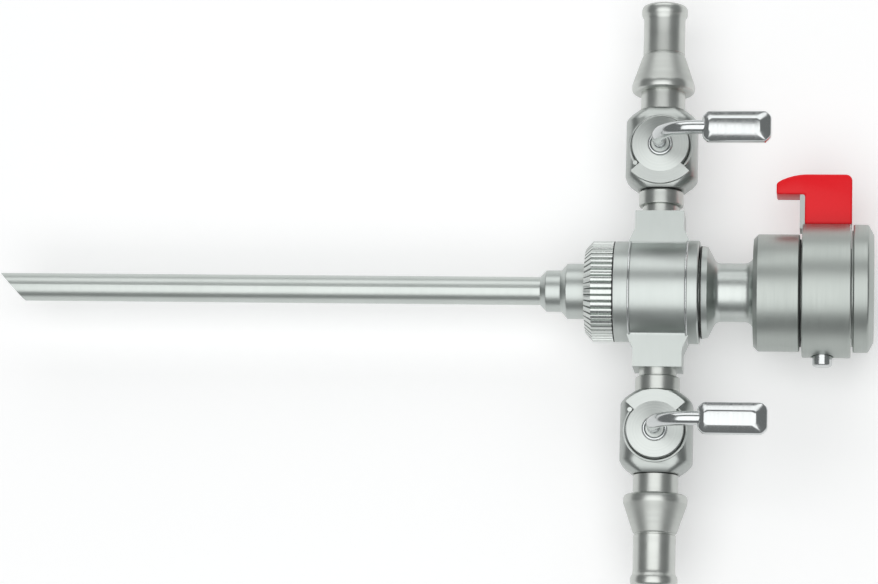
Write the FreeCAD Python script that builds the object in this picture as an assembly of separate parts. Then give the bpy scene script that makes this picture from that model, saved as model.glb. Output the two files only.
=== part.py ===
import FreeCAD, Part
import math
import os

from FreeCAD import Vector

# Arthroscope sheath, lying on a table.
# X runs along the tube: the tip points to -X and the rear face, where the telescope goes in, is X = 0.
# Y runs through the two stopcocks, and Z points up from the table, to the side with their levers.
# All sizes are in millimetres.

# Fits
running_gap = 0.05
face_gap = 0.1
guard_gap = 0.2
fine_edge = 0.15
small_edge = 0.3

# Sheath tube
tube_outer_dia = 5.7
tube_wall = 0.45
tube_reach = 112.0
tip_bevel_length = 5.4
tube_socket_dia = 5.3
tube_socket_depth = 10.2

# Stepped ferrule between the tube and the spindle
ferrule_large_dia = 11.2
ferrule_small_dia = 8.4
ferrule_length = 9.2
ferrule_small_length = 3.0
ferrule_cone_length = 1.2
ferrule_inset = 0.5
ferrule_lip = 0.15
ferrule_round = 0.3

# Telescope passage
telescope_dia = 4.0
passage_dia = 6.4
socket_dia = 13.0
socket_depth = 16.0
seat_dia = 11.8
seat_length = 3.0
seat_mouth_dia = 9.6
seal_outer_dia = 8.8
seal_thickness = 1.5

# Spindle that the stopcock collar turns on
thread_dia = 12.0
journal_dia = 14.0
port_dia = 2.6
port_count = 4
o_ring_section = 1.2
o_ring_land = 0.7
flange_dia = 18.8
flange_edge = 1.1
flange_edge_taper = 0.3
flange_cone_length = 1.0
flange_cone_dia = 14.4
flange_root_length = 0.6
neck_dia = 11.8
neck_length = 8.1
neck_flare_dia = 16.0
neck_front_fillet = 1.5
neck_rear_fillet = 1.9
spigot_dia = 12.6
seal_ring_gap = 0.6
seal_ring_inset = 0.1
seal_ring_thickness = 0.35

# Knurled nut and its slip washer
nut_dia = 20.4
nut_front_dia = 17.2
nut_length = 5.7
nut_chamfer_length = 1.7
nut_bush_dia = 15.8
nut_bush_inset = 0.2
flute_count = 48
flute_dia = 0.9
flute_depth = 0.4
washer_dia = 18.0
washer_thickness = 0.5

# Rotating collar with two bosses
collar_length = 17.0
collar_front_rim_dia = 20.3
collar_band_dia = 20.0
collar_rear_rim_dia = 20.8
collar_front_rim = 3.0
collar_rear_rim = 2.2
edge_line_width = 0.4
edge_line_height = 0.2
channel_width = 4.0
channel_dia = 17.2
stopcock_station = 8.1
boss_root_width = 12.2
boss_root_radius = 9.6
boss_flare_radius = 12.2
boss_flare_round = 3.0
boss_width = 9.8
boss_depth = 8.4
boss_radius = 15.9
boss_fillet = 0.6

# Stopcocks, measured outwards from the tube's axis
fluid_bore_dia = 4.0
joint_spigot_dia = 6.0
joint_spigot_length = 1.7
union_neck_dia = 7.5
union_neck_length = 1.6
union_collar_dia = 9.0
union_collar_length = 3.0
union_edge = 0.3
union_groove = 0.2
gasket_thickness = 0.2
gasket_inset = 0.3
valve_width = 14.4
valve_length = 16.4
valve_depth = 10.8
valve_corner_across = 2.8
valve_corner_along = 2.2
valve_corner_round = 0.6
rim_dia = 12.6
rim_height = 0.6

# Valve plug with its lever
plug_top_dia = 8.6
plug_bottom_dia = 7.4
plug_gap = 0.03
head_dia = 11.5
head_edge_height = 1.6
head_cone_height = 0.3
stem_shoulder = 0.4
lever_ring_dia = 5.0
lever_ring_height = 0.4
tab_outer_dia = 16.0
tab_half_angle = 47.0
tab_thickness = 1.0
stop_pin_dia = 0.9
stop_pin_depth = 1.4
stop_gap_angle = 1.5
stop_pin_drop = 0.1
rod_dia = 2.8
rod_bend_radius = 4.5
rod_socket_depth = 2.5
lever_rise = 21.0
paddle_start = 9.0
paddle_length = 13.5
paddle_root_width = 6.2
paddle_end_width = 5.9
paddle_thickness = 4.2
paddle_chamfer = 1.4
rod_in_paddle = 2.4
stem_dia = 4.8
stem_length = 3.4
spring_washer_width = 1.4
spring_washer_thickness = 0.5
plug_nut_wall = 1.5
plug_nut_thickness = 2.2
plug_nut_slot_width = 1.0
plug_nut_slot_depth = 0.7

# Hose connector
connector_neck_dia = 9.0
connector_neck_length = 3.8
land_dia = 12.8
land_length = 1.9
land_round = 0.6
land_outer_round = 0.5
land_recess_dia = 10.6
land_recess_depth = 0.6
connector_cone_length = 5.9
barrel_dia = 8.5
barrel_length = 8.3
bead_dia = 9.4
bead_length = 2.3
bead_round = 0.7
connector_mouth_dia = 5.2
connector_mouth_length = 1.2

# Telescope lock
housing_dia = 23.5
housing_length = 9.1
housing_front_chamfer = 0.9
housing_rear_chamfer = 0.2
lock_gap = 0.5
hub_dia = 18.0
thrust_washer_width = 1.8
thrust_washer_thickness = 0.3
ring_dia = 26.8
ring_length = 9.8
ring_edge = 0.3
ring_offset = 0.5
cap_length = 4.1
cap_dia = 25.6
cap_offset = 1.0
cap_chamfer_length = 1.1
cap_rear_dia = 21.4
cap_rear_round = 0.6
cap_groove_dia = 23.2
cap_groove_width = 0.3
cap_rear_wall = 1.5
cap_edge = 0.3
port_chamfer = 0.4
bayonet_width = 3.2
bayonet_outer_dia = 20.6
bayonet_depth = 12.0
bayonet_lip = 3.5
unlock_angle = 45.0

# Lock lever and finger stud
grip_length = 9.4
grip_height = 10.0
grip_rear_height = 9.4
grip_width = 6.0
grip_round = 1.3
grip_crown_radius = 8.0
grip_edge = 0.4
hook_reach = 5.7
hook_height = 2.3
hook_tip_width = 4.4
hook_bend_radius = 2.5
hook_tip_round = 0.8
lever_tab_thickness = 1.0
lever_tab_width = 5.0
lever_tab_height = 5.8
lever_tab_seat = 1.2
lever_tab_proud = 0.6
lever_pin_dia = 2.4
lever_pin_spacing = 4.8
lever_pin_depth = 2.0
lever_pin_height = 6.0
stud_dia = 4.0
stud_height = 2.0
stud_depth = 1.8
stud_place = 0.58
stud_round = 0.5
stud_groove_width = 0.3
stud_groove_depth = 0.3

# Stations along X, from the rear face forwards
cap_front_x = -cap_length
ring_rear_x = cap_front_x - cap_groove_width
ring_front_x = ring_rear_x - ring_length
housing_rear_x = ring_front_x - lock_gap
housing_front_x = housing_rear_x - housing_length
neck_front_x = housing_front_x - neck_length
flange_cone_x = neck_front_x - flange_cone_length
flange_front_x = flange_cone_x - flange_edge
collar_rear_x = flange_front_x - seal_ring_gap
collar_front_x = collar_rear_x - collar_length
stopcock_x = collar_rear_x - stopcock_station
shoulder_x = collar_front_x - face_gap
nut_rear_x = shoulder_x
nut_front_x = nut_rear_x - nut_length
spindle_front_x = nut_front_x + ferrule_inset
ferrule_front_x = nut_front_x - ferrule_length
tube_rear_x = spindle_front_x + tube_socket_depth
tube_tip_x = ferrule_front_x - tube_reach
socket_floor_x = -socket_depth
seat_front_x = socket_floor_x - seat_length
seal_front_x = seat_front_x - seal_thickness

# Stations outwards along the stopcock axis
union_outer = boss_radius + union_neck_length + union_collar_length
valve_inner = union_outer + gasket_thickness
valve_centre = valve_inner + valve_length / 2
valve_outer = valve_inner + valve_length
connector_inner = valve_outer + gasket_thickness
land_inner = connector_inner + connector_neck_length
cone_inner = land_inner + land_length
barrel_inner = cone_inner + connector_cone_length
bead_inner = barrel_inner + barrel_length
connector_end = bead_inner + bead_length

# Radii used by several pieces
tube_radius = tube_outer_dia / 2
tube_bore_radius = tube_radius - tube_wall
tube_socket_radius = tube_socket_dia / 2
passage_radius = passage_dia / 2
fluid_radius = fluid_bore_dia / 2
spigot_radius = joint_spigot_dia / 2
ring_radius = ring_dia / 2
ring_top = ring_radius + ring_offset
ring_bottom = ring_radius - ring_offset
valve_face = valve_depth / 2

along_x = Vector(1, 0, 0)
along_y = Vector(0, 1, 0)
along_z = Vector(0, 0, 1)
origin = Vector(0, 0, 0)


def rounded_face(corners):
    """Flat face in the XY plane; a third number in a corner rounds it by that radius."""
    count = len(corners)
    starts = []
    ends = []
    middles = []
    for index in range(count):
        here = Vector(corners[index][0], corners[index][1], 0)
        radius = corners[index][2] if len(corners[index]) > 2 else 0
        if radius == 0:
            starts.append(here)
            ends.append(here)
            middles.append(None)
            continue
        before = corners[index - 1]
        after = corners[(index + 1) % count]
        back = (Vector(before[0], before[1], 0) - here).normalize()
        ahead = (Vector(after[0], after[1], 0) - here).normalize()
        half_angle = back.getAngle(ahead) / 2
        inset = radius / math.tan(half_angle)
        bisector = (back + ahead).normalize()
        centre = here + bisector * (radius / math.sin(half_angle))
        starts.append(here + back * inset)
        ends.append(here + ahead * inset)
        middles.append(centre - bisector * radius)
    edges = []
    for index in range(count):
        if middles[index] is not None:
            edges.append(Part.Arc(starts[index], middles[index], ends[index]).toShape())
        following = (index + 1) % count
        if (starts[following] - ends[index]).Length > 1e-6:
            edges.append(Part.LineSegment(ends[index], starts[following]).toShape())
    return Part.Face(Part.Wire(edges))


def turned(corners):
    """Solid of revolution about X from (x, radius) corners."""
    return rounded_face(corners).revolve(origin, along_x, 360)


def rod_along_x(radius, start, end):
    return Part.makeCylinder(radius, end - start, Vector(start, 0, 0), along_x)


def block(low_x, high_x, low_y, high_y, low_z, high_z):
    return Part.makeBox(high_x - low_x, high_y - low_y, high_z - low_z, Vector(low_x, low_y, low_z))


def to_stopcock(shape):
    """Move a piece drawn along X onto the upper stopcock axis, which runs along +Y."""
    moved = shape.copy()
    moved.rotate(origin, along_z, 90)
    moved.translate(Vector(stopcock_x, 0, 0))
    return moved


def to_valve(shape):
    """Move a piece drawn about the Z axis to the upper valve plug."""
    moved = shape.copy()
    moved.translate(Vector(stopcock_x, valve_centre, 0))
    return moved


def mirrored(shape):
    """Upper stopcock piece mirrored to the lower stopcock."""
    return shape.mirror(origin, along_y)


def around_axis(shape, count, first_angle=0):
    """Copies of a shape spread evenly about X."""
    copies = []
    for index in range(count):
        copy = shape.copy()
        copy.rotate(origin, along_x, first_angle + 360 * index / count)
        copies.append(copy)
    return copies


# Sheath tube with its bevelled tip and a turned-down rear end
def make_sheath_tube():
    tube = rod_along_x(tube_radius, tube_tip_x, ferrule_front_x)
    tube = tube.fuse(rod_along_x(tube_socket_radius, ferrule_front_x, tube_rear_x))
    tube = tube.cut(rod_along_x(tube_bore_radius, tube_tip_x - 1, tube_rear_x + 1))
    low_corner = Vector(tube_tip_x + tip_bevel_length, -tube_radius, 0)
    high_corner = Vector(tube_tip_x, tube_radius, 0)
    slope = high_corner - low_corner
    away = slope.cross(along_z).normalize()
    if away.x > 0:
        away = away * -1
    reach = tube_outer_dia * 3
    cutter_corners = [
        low_corner - slope,
        high_corner + slope,
        high_corner + slope + away * reach,
        low_corner - slope + away * reach,
        low_corner - slope,
    ]
    cutter = Part.Face(Part.makePolygon(cutter_corners)).extrude(along_z * tube_outer_dia * 2)
    cutter.translate(along_z * -tube_outer_dia)
    return tube.cut(cutter)


# Stepped ferrule brazed round the tube
def make_ferrule():
    large_front = ferrule_front_x + 2 * ferrule_cone_length + ferrule_small_length
    return turned([
        (ferrule_front_x, tube_socket_radius),
        (ferrule_front_x, tube_radius + ferrule_lip),
        (ferrule_front_x + ferrule_cone_length, ferrule_small_dia / 2, ferrule_round),
        (large_front - ferrule_cone_length, ferrule_small_dia / 2, ferrule_round),
        (large_front, ferrule_large_dia / 2, ferrule_round),
        (spindle_front_x, ferrule_large_dia / 2),
        (spindle_front_x, tube_socket_radius),
    ])


def o_ring_stations():
    offset = channel_width / 2 + o_ring_land + o_ring_section / 2 + face_gap
    return (stopcock_x - offset, stopcock_x + offset)


# Spindle: thread, journal, flange, neck and rear spigot in one turned piece
def make_spindle():
    spindle = turned([
        (spindle_front_x, tube_socket_radius),
        (spindle_front_x, thread_dia / 2 - small_edge),
        (spindle_front_x + small_edge, thread_dia / 2),
        (shoulder_x, thread_dia / 2),
        (shoulder_x, journal_dia / 2),
        (flange_front_x, journal_dia / 2),
        (flange_front_x, flange_dia / 2),
        (flange_cone_x, flange_dia / 2 - flange_edge_taper),
        (neck_front_x, flange_cone_dia / 2),
        (neck_front_x + flange_root_length, neck_dia / 2, neck_front_fillet),
        (housing_front_x, neck_dia / 2, neck_rear_fillet),
        (housing_front_x, neck_flare_dia / 2),
        (housing_front_x, spigot_dia / 2),
        (seat_front_x, spigot_dia / 2),
        (seat_front_x, seal_outer_dia / 2),
        (seal_front_x, seal_outer_dia / 2),
        (seal_front_x, passage_radius),
        (tube_rear_x, passage_radius),
        (tube_rear_x, tube_socket_radius),
    ])
    groove_floor = journal_dia / 2 - o_ring_section - face_gap
    for station in o_ring_stations():
        half_width = o_ring_section / 2 + face_gap
        groove = turned([
            (station - half_width, groove_floor),
            (station + half_width, groove_floor),
            (station + half_width, journal_dia),
            (station - half_width, journal_dia),
        ])
        spindle = spindle.cut(groove)
    port = Part.makeCylinder(port_dia / 2, journal_dia, Vector(stopcock_x, 0, 0), along_y)
    return spindle.cut(around_axis(port, port_count))


# Two seals in the spindle's grooves, one on each side of the fluid channel
def make_collar_seals():
    ring_centre = journal_dia / 2 - o_ring_section / 2 - face_gap / 2
    rings = []
    for station in o_ring_stations():
        rings.append(Part.makeTorus(ring_centre, o_ring_section / 2, Vector(station, 0, 0), along_x))
    return Part.makeCompound(rings)


# Black seal ring in front of the spindle's flange, clear of the collar
def make_rear_seal():
    return turned([
        (flange_front_x - seal_ring_thickness, journal_dia / 2),
        (flange_front_x - seal_ring_thickness, flange_dia / 2 - seal_ring_inset),
        (flange_front_x, flange_dia / 2 - seal_ring_inset),
        (flange_front_x, journal_dia / 2),
    ])


def washer_recess_x():
    return nut_rear_x - washer_thickness - face_gap


# Knurled nut: straight flutes that run out on the front chamfer
def make_knurled_nut():
    nut = turned([
        (nut_front_x, nut_bush_dia / 2),
        (nut_front_x, nut_front_dia / 2),
        (nut_front_x + nut_chamfer_length, nut_dia / 2),
        (nut_rear_x - small_edge, nut_dia / 2),
        (nut_rear_x, nut_dia / 2 - small_edge),
        (nut_rear_x, washer_dia / 2 + guard_gap),
        (washer_recess_x(), washer_dia / 2 + guard_gap),
        (washer_recess_x(), nut_bush_dia / 2),
    ])
    flute_axis = nut_dia / 2 - flute_depth + flute_dia / 2
    flute = Part.makeCylinder(flute_dia / 2, nut_length + 2, Vector(nut_front_x - 1, 0, flute_axis), along_x)
    return nut.cut(around_axis(flute, flute_count))


# Threaded bush pressed into the nut
def make_nut_bush():
    bush = rod_along_x(nut_bush_dia / 2, nut_front_x + nut_bush_inset, washer_recess_x())
    bore_radius = thread_dia / 2 + running_gap
    return bush.cut(rod_along_x(bore_radius, nut_front_x, nut_rear_x))


# Slip washer that follows the nut and keeps the collar from turning it
def make_slip_washer():
    washer = rod_along_x(washer_dia / 2, nut_rear_x - washer_thickness, nut_rear_x)
    bore_radius = thread_dia / 2 + running_gap
    return washer.cut(rod_along_x(bore_radius, nut_front_x, nut_rear_x + 1))


def boss_shape():
    """Flat-faced boss that flares towards the collar, drawn along X and moved onto the upper stopcock axis."""
    half_width = boss_width / 2
    half_root = boss_root_width / 2
    plan = rounded_face([
        (0, -half_root),
        (boss_root_radius, -half_root),
        (boss_flare_radius, -half_width, boss_flare_round),
        (boss_radius, -half_width),
        (boss_radius, half_width),
        (boss_flare_radius, half_width, boss_flare_round),
        (boss_root_radius, half_root),
        (0, half_root),
    ])
    boss = plan.extrude(along_z * boss_depth)
    boss.translate(along_z * (-boss_depth / 2))
    return to_stopcock(boss)


def boss_root_edges(shape):
    """Edges where the upper boss's flat faces meet the collar's band."""
    found = []
    for edge in shape.Edges:
        box = edge.BoundBox
        flat = box.ZLength < 1e-3 and abs(abs(box.Center.z) - boss_depth / 2) < 1e-3
        inner = abs(box.Center.y) < boss_root_radius and box.XLength > boss_width / 2
        if flat and inner:
            found.append(edge)
    return found


# Rotating collar with the two stopcock bosses
def make_collar():
    line = edge_line_height
    front_line = collar_front_x + collar_front_rim
    rear_line = collar_rear_x - collar_rear_rim
    collar = turned([
        (collar_front_x, 0),
        (collar_front_x, collar_front_rim_dia / 2, small_edge),
        (front_line, collar_front_rim_dia / 2),
        (front_line, collar_front_rim_dia / 2 + line),
        (front_line + edge_line_width, collar_front_rim_dia / 2 + line),
        (front_line + edge_line_width, collar_band_dia / 2),
        (rear_line - edge_line_width, collar_band_dia / 2),
        (rear_line - edge_line_width, collar_rear_rim_dia / 2 + line / 2),
        (rear_line, collar_rear_rim_dia / 2 + line / 2),
        (rear_line, collar_rear_rim_dia / 2),
        (collar_rear_x, collar_rear_rim_dia / 2, small_edge),
        (collar_rear_x, 0),
    ])
    boss = boss_shape()
    collar = collar.fuse([boss, mirrored(boss)])
    collar = collar.makeFillet(boss_fillet, boss_root_edges(collar))
    channel = rod_along_x(channel_dia / 2, stopcock_x - channel_width / 2, stopcock_x + channel_width / 2)
    journal_bore = rod_along_x(journal_dia / 2 + running_gap, collar_front_x - 1, collar_rear_x + 1)
    passage = to_stopcock(rod_along_x(fluid_radius, -boss_radius - 1, boss_radius + 1))
    socket = to_stopcock(rod_along_x(spigot_radius, boss_radius - joint_spigot_length, boss_radius + 1))
    return collar.cut([channel, journal_bore, passage, socket, mirrored(socket)])


# Union between a boss and its valve body
def make_union():
    collar_inner = boss_radius + union_neck_length
    union = turned([
        (boss_radius - joint_spigot_length, fluid_radius),
        (boss_radius - joint_spigot_length, spigot_radius),
        (boss_radius, spigot_radius),
        (boss_radius, union_neck_dia / 2),
        (collar_inner - union_groove, union_neck_dia / 2),
        (collar_inner - union_groove, union_neck_dia / 2 - union_groove),
        (collar_inner, union_neck_dia / 2 - union_groove),
        (collar_inner, union_collar_dia / 2, union_edge),
        (union_outer, union_collar_dia / 2, union_edge),
        (union_outer, spigot_radius),
        (valve_inner + joint_spigot_length, spigot_radius),
        (valve_inner + joint_spigot_length, fluid_radius),
    ])
    return to_stopcock(union)


def make_gasket(inner_face, outer_dia):
    gasket = rod_along_x(outer_dia / 2 - gasket_inset, inner_face, inner_face + gasket_thickness)
    return to_stopcock(gasket.cut(rod_along_x(spigot_radius, inner_face - 1, inner_face + 1)))


def plug_radius(z):
    """Radius of the tapered plug at a height above the valve's middle."""
    middle = (plug_top_dia + plug_bottom_dia) / 4
    slope = (plug_top_dia - plug_bottom_dia) / 2 / valve_depth
    return middle + slope * z


def stop_pin_place():
    """Middle of the stop pin: beside the tab's forward end, just outside the plug's head."""
    distance = head_dia / 2 + stop_pin_dia / 2 + face_gap
    half_pin = math.degrees(math.asin(stop_pin_dia / 2 / distance))
    angle = math.radians(-90 - tab_half_angle - stop_gap_angle - half_pin)
    return Vector(distance * math.cos(angle), distance * math.sin(angle), 0)


def stop_pin_top():
    return valve_face + rim_height + face_gap + tab_thickness - stop_pin_drop


# Stop pin pressed into the valve body
def make_stop_pin():
    foot = stop_pin_place() + along_z * (valve_face - stop_pin_depth)
    height = stop_pin_top() - foot.z
    return to_valve(Part.makeCylinder(stop_pin_dia / 2, height, foot, along_z))


# Valve body: elongated octagon with a thin rim round the plug's head
def make_valve_body():
    half_width = valve_width / 2
    half_length = valve_length / 2
    corner_x = half_width - valve_corner_across
    corner_y = half_length - valve_corner_along
    outline = rounded_face([
        (-half_width, -corner_y, valve_corner_round),
        (-corner_x, -half_length),
        (corner_x, -half_length),
        (half_width, -corner_y, valve_corner_round),
        (half_width, corner_y, valve_corner_round),
        (corner_x, half_length),
        (-corner_x, half_length),
        (-half_width, corner_y, valve_corner_round),
    ])
    body = outline.extrude(along_z * valve_depth)
    body.translate(along_z * -valve_face)
    rim = Part.makeCylinder(rim_dia / 2, rim_height + 1, along_z * (valve_face - 1), along_z)
    rim_inside = Part.makeCylinder(head_dia / 2 + guard_gap, rim_height + 1, along_z * valve_face, along_z)
    body = body.fuse(rim).cut(rim_inside)
    margin = 1
    top_radius = plug_radius(valve_face + margin) + plug_gap
    bottom_radius = plug_radius(-valve_face - margin) + plug_gap
    plug_hole = Part.makeCone(bottom_radius, top_radius, valve_depth + 2 * margin,
                              along_z * (-valve_face - margin), along_z)
    foot = stop_pin_place() + along_z * (valve_face - stop_pin_depth)
    pin_hole = Part.makeCylinder(stop_pin_dia / 2, valve_depth, foot, along_z)
    passage = Part.makeCylinder(fluid_radius, valve_length + 2, along_y * (-half_length - 1), along_y)
    sockets = []
    for start in (-half_length - 1, half_length - joint_spigot_length):
        sockets.append(Part.makeCylinder(spigot_radius, joint_spigot_length + 1, along_y * start, along_y))
    return to_valve(body.cut([plug_hole, pin_hole, passage] + sockets))


# Valve plug: tapered cock, head with the stop tab, and threaded stem
def make_valve_plug():
    head_bottom = valve_face + face_gap
    head_edge = head_bottom + head_edge_height
    ring_foot = head_edge + head_cone_height
    ring_top = ring_foot + lever_ring_height
    stem_end = -valve_face - stem_length
    plug_bottom = -valve_face + stem_shoulder
    profile = rounded_face([
        (stem_end, 0),
        (stem_end, stem_dia / 2 - small_edge),
        (stem_end + small_edge, stem_dia / 2),
        (plug_bottom, stem_dia / 2),
        (plug_bottom, plug_radius(plug_bottom)),
        (valve_face, plug_radius(valve_face)),
        (head_bottom, plug_radius(valve_face)),
        (head_bottom, head_dia / 2),
        (head_edge - fine_edge, head_dia / 2),
        (head_edge, head_dia / 2 - fine_edge),
        (ring_foot, lever_ring_dia / 2),
        (ring_top, lever_ring_dia / 2, fine_edge),
        (ring_top, 0),
    ])
    plug = profile.revolve(origin, along_x, 360)
    plug.rotate(origin, along_y, -90)
    tab_bottom = valve_face + rim_height + face_gap
    tab = Part.makeCylinder(tab_outer_dia / 2, tab_thickness, along_z * tab_bottom, along_z,
                            2 * tab_half_angle)
    tab.rotate(origin, along_z, -90 - tab_half_angle)
    plug = plug.fuse(tab)
    flow_bore = Part.makeCylinder(fluid_radius, head_dia, along_x * (-head_dia / 2), along_x)
    rod_socket = Part.makeCylinder(rod_dia / 2, rod_socket_depth + 1,
                                   along_z * (ring_top - rod_socket_depth), along_z)
    return to_valve(plug.cut([flow_bore, rod_socket]))


# Lever rod: rises from the plug and bends towards the rear
def make_lever_rod():
    ring_top = valve_face + face_gap + head_edge_height + head_cone_height + lever_ring_height
    foot = along_z * (ring_top - rod_socket_depth)
    bend_start = along_z * (lever_rise - rod_bend_radius)
    lean = rod_bend_radius * (1 - math.cos(math.radians(45)))
    bend_middle = Vector(lean, 0, lever_rise - lean)
    bend_end = Vector(rod_bend_radius, 0, lever_rise)
    rod_end = Vector(paddle_start + rod_in_paddle, 0, lever_rise)
    path = Part.Wire([
        Part.LineSegment(foot, bend_start).toShape(),
        Part.Arc(bend_start, bend_middle, bend_end).toShape(),
        Part.LineSegment(bend_end, rod_end).toShape(),
    ])
    section = Part.Wire(Part.Circle(foot, along_z, rod_dia / 2).toShape())
    return to_valve(path.makePipeShell([section], True, False))


# Paddle: faceted bar, a little narrower towards its free end
def make_lever_paddle():
    paddle_end = paddle_start + paddle_length
    plan = rounded_face([
        (paddle_start, -paddle_root_width / 2),
        (paddle_end, -paddle_end_width / 2),
        (paddle_end, paddle_end_width / 2),
        (paddle_start, paddle_root_width / 2),
    ])
    paddle = plan.extrude(along_z * paddle_thickness)
    paddle.translate(along_z * (lever_rise - paddle_thickness / 2))
    paddle = paddle.makeChamfer(paddle_chamfer, paddle.Edges)
    socket = rod_along_x(rod_dia / 2, 0, paddle_start + rod_in_paddle)
    socket.translate(along_z * lever_rise)
    return to_valve(paddle.cut(socket))


# Spring washer and slotted nut that hold the plug in its taper
def make_spring_washer():
    top = -valve_face - face_gap
    outer_radius = stem_dia / 2 + spring_washer_width
    washer = Part.makeCylinder(outer_radius, spring_washer_thickness,
                               along_z * (top - spring_washer_thickness), along_z)
    hole = Part.makeCylinder(stem_dia / 2, valve_depth, along_z * (top - valve_depth / 2), along_z)
    return to_valve(washer.cut(hole))


def make_plug_nut():
    top = -valve_face - face_gap - spring_washer_thickness
    bottom = top - plug_nut_thickness
    outer_radius = stem_dia / 2 + plug_nut_wall
    nut = Part.makeCylinder(outer_radius, plug_nut_thickness, along_z * bottom, along_z)
    nut = nut.makeChamfer(small_edge, [edge for edge in nut.Edges if abs(edge.BoundBox.ZMax - bottom) < 1e-3])
    hole = Part.makeCylinder(stem_dia / 2, valve_depth, along_z * (bottom - 1), along_z)
    slot = block(-2 * outer_radius, 2 * outer_radius, -plug_nut_slot_width / 2, plug_nut_slot_width / 2,
                 bottom - 1, bottom + plug_nut_slot_depth)
    return to_valve(nut.cut([hole, slot]))


# Hose connector: collar, cone, barrel and end bead
def make_hose_connector():
    end = connector_end
    mouth_radius = connector_mouth_dia / 2
    recess = land_recess_depth
    connector = turned([
        (valve_outer - joint_spigot_length, fluid_radius),
        (valve_outer - joint_spigot_length, spigot_radius),
        (connector_inner, spigot_radius),
        (connector_inner, connector_neck_dia / 2, fine_edge),
        (land_inner + recess, connector_neck_dia / 2),
        (land_inner + recess, land_recess_dia / 2),
        (land_inner, land_recess_dia / 2),
        (land_inner, land_dia / 2, land_round),
        (cone_inner, land_dia / 2, land_outer_round),
        (barrel_inner, barrel_dia / 2 + fine_edge),
        (barrel_inner, barrel_dia / 2),
        (bead_inner, barrel_dia / 2),
        (bead_inner + small_edge, bead_dia / 2),
        (end, bead_dia / 2, bead_round),
        (end, mouth_radius + small_edge),
        (end - small_edge, mouth_radius),
        (end - connector_mouth_length, mouth_radius),
        (end - connector_mouth_length - (mouth_radius - fluid_radius), fluid_radius),
    ])
    return to_stopcock(connector)


def bayonet_slots(front, rear, outer_radius, angle=0):
    """Two slots on opposite sides of the axis for the telescope's locking pins."""
    slots = []
    for turn in (0, 180):
        slot = block(front, rear, -bayonet_width / 2, bayonet_width / 2, 0, outer_radius)
        slot.rotate(origin, along_x, turn + angle)
        slots.append(slot)
    return slots


# Lock housing: drum with the hub that carries the lock ring
def make_lock_housing():
    hub_rear = -cap_rear_wall
    housing = turned([
        (housing_front_x, spigot_dia / 2),
        (housing_front_x, housing_dia / 2 - housing_front_chamfer),
        (housing_front_x + housing_front_chamfer, housing_dia / 2),
        (housing_rear_x - housing_rear_chamfer, housing_dia / 2),
        (housing_rear_x, housing_dia / 2 - housing_rear_chamfer),
        (housing_rear_x, hub_dia / 2),
        (hub_rear, hub_dia / 2),
        (hub_rear, socket_dia / 2),
        (socket_floor_x, socket_dia / 2),
        (socket_floor_x, seat_dia / 2),
        (seat_front_x, seat_dia / 2),
        (seat_front_x, spigot_dia / 2),
    ])
    return housing.cut(bayonet_slots(-bayonet_depth, hub_rear + 1, hub_dia))


# Conical seat that centres the telescope
def make_telescope_seat():
    return turned([
        (seat_front_x, telescope_dia / 2 + guard_gap),
        (seat_front_x, seat_dia / 2),
        (socket_floor_x, seat_dia / 2),
        (socket_floor_x, seat_mouth_dia / 2),
    ])


# Seal round the telescope's shaft
def make_telescope_seal():
    seal = rod_along_x(seal_outer_dia / 2, seal_front_x, seat_front_x)
    return seal.cut(rod_along_x(telescope_dia / 2, seal_front_x - 1, seat_front_x + 1))


# Thrust washer in the gap between the drum and the lock ring
def make_thrust_washer():
    outer_radius = hub_dia / 2 + thrust_washer_width
    washer = rod_along_x(outer_radius, housing_rear_x, housing_rear_x + thrust_washer_thickness)
    return washer.cut(rod_along_x(hub_dia / 2, housing_rear_x - 1, ring_front_x))


def lever_pin_stations():
    middle = ring_rear_x - grip_length / 2
    return (middle - lever_pin_spacing / 2, middle + lever_pin_spacing / 2)


def stud_station():
    return ring_rear_x - ring_length * stud_place


# Lock ring, thicker on the lever's side, with its inner bayonet groove
def make_lock_ring():
    ring_rear = ring_rear_x - face_gap
    ring = turned([
        (ring_front_x, 0),
        (ring_front_x, ring_radius, ring_edge),
        (ring_rear, ring_radius, ring_edge),
        (ring_rear, 0),
    ])
    ring.translate(along_y * ring_offset)
    hub_bore = rod_along_x(hub_dia / 2 + running_gap, ring_front_x - 1, ring_rear + 1)
    groove_rear = ring_rear - bayonet_lip
    groove = rod_along_x(bayonet_outer_dia / 2, -bayonet_depth, groove_rear)
    entries = bayonet_slots(groove_rear - 1, ring_rear + 1, bayonet_outer_dia / 2, -unlock_angle)
    tab_rear = ring_front_x + lever_tab_thickness - lever_tab_proud
    tab_seat = block(ring_front_x - 1, tab_rear, ring_top - lever_tab_seat, ring_top + 1,
                     -lever_tab_width / 2, lever_tab_width / 2)
    pin_holes = []
    for station in lever_pin_stations():
        foot = Vector(station, ring_top - lever_pin_depth, 0)
        pin_holes.append(Part.makeCylinder(lever_pin_dia / 2, ring_radius, foot, along_y))
    stud_foot = Vector(stud_station(), stud_depth - ring_bottom, 0)
    stud_hole = Part.makeCylinder(stud_dia / 2, ring_radius, stud_foot, along_y * -1)
    groove_foot = Vector(stud_station(), stud_groove_depth - ring_bottom, 0)
    stud_groove = Part.makeCylinder(stud_dia / 2 + stud_groove_width, ring_radius, groove_foot, along_y * -1)
    return ring.cut([hub_bore, groove, tab_seat, stud_hole, stud_groove] + entries + pin_holes)


# Finger stud opposite the lever
def make_ring_stud():
    foot = Vector(stud_station(), stud_depth - ring_bottom, 0)
    stud = Part.makeCylinder(stud_dia / 2, stud_depth + stud_height, foot, along_y * -1)
    end = -(ring_bottom + stud_height)
    end_edges = [edge for edge in stud.Edges if abs(edge.BoundBox.YMax - end) < 1e-3]
    return stud.makeFillet(stud_round, end_edges)


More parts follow.
